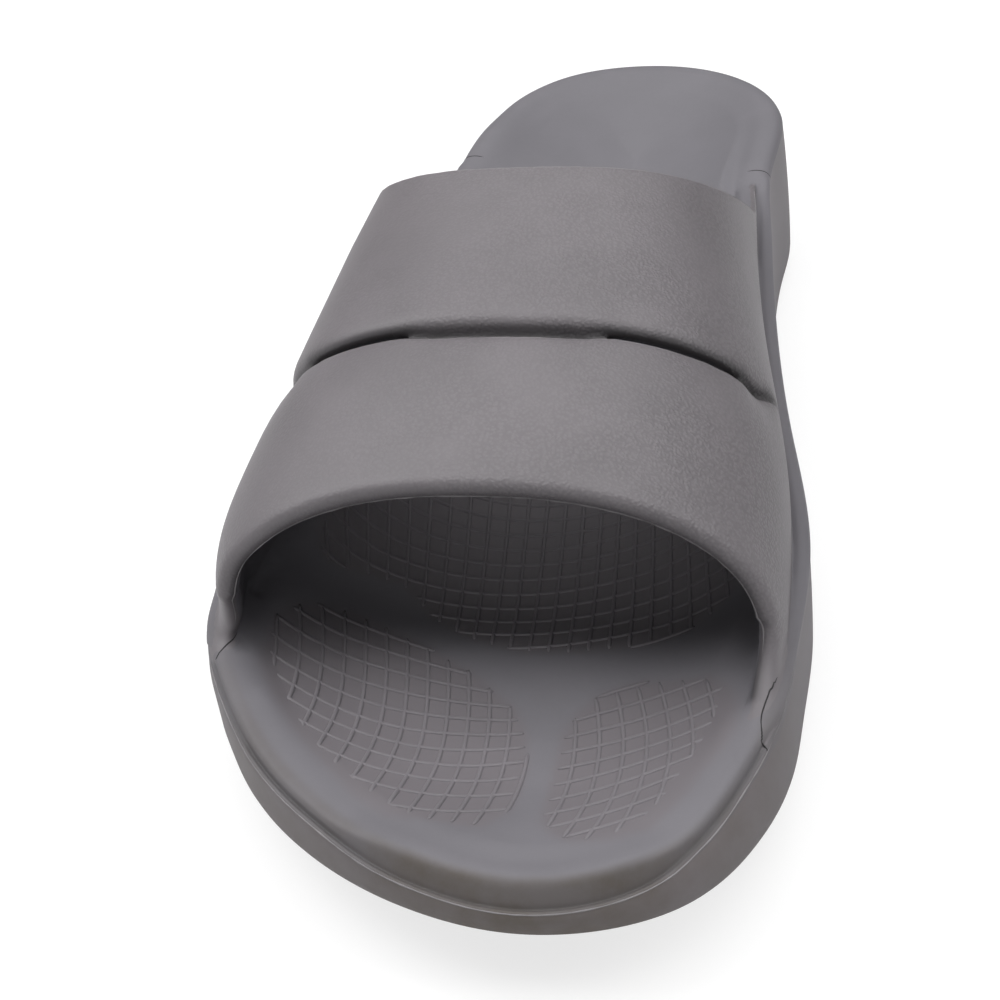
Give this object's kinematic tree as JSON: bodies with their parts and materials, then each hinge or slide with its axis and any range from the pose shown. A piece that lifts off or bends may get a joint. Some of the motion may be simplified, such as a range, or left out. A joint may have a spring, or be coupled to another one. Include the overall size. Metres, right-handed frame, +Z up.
{
  "type": "slide sandal",
  "caption": "Right-foot sport slide moulded whole from grey foam: thick contoured sole with toe spring and heel cup, and a wide two-band strap, closed at neither end.",
  "frame": {"origin": "middle of the sole's bounding rectangle, on the floor plane", "axes": "toe to -Y and heel to +Y, inner side of the foot to +X, +Z up"},
  "size_m": [0.115, 0.296, 0.0835],
  "materials": {
    "foam": "matte closed-cell foam, smooth on the sole and lightly grained on the strap"
  },
  "bodies": {
    "root": {"sandal": "foam"}
  },
  "joints": []
}
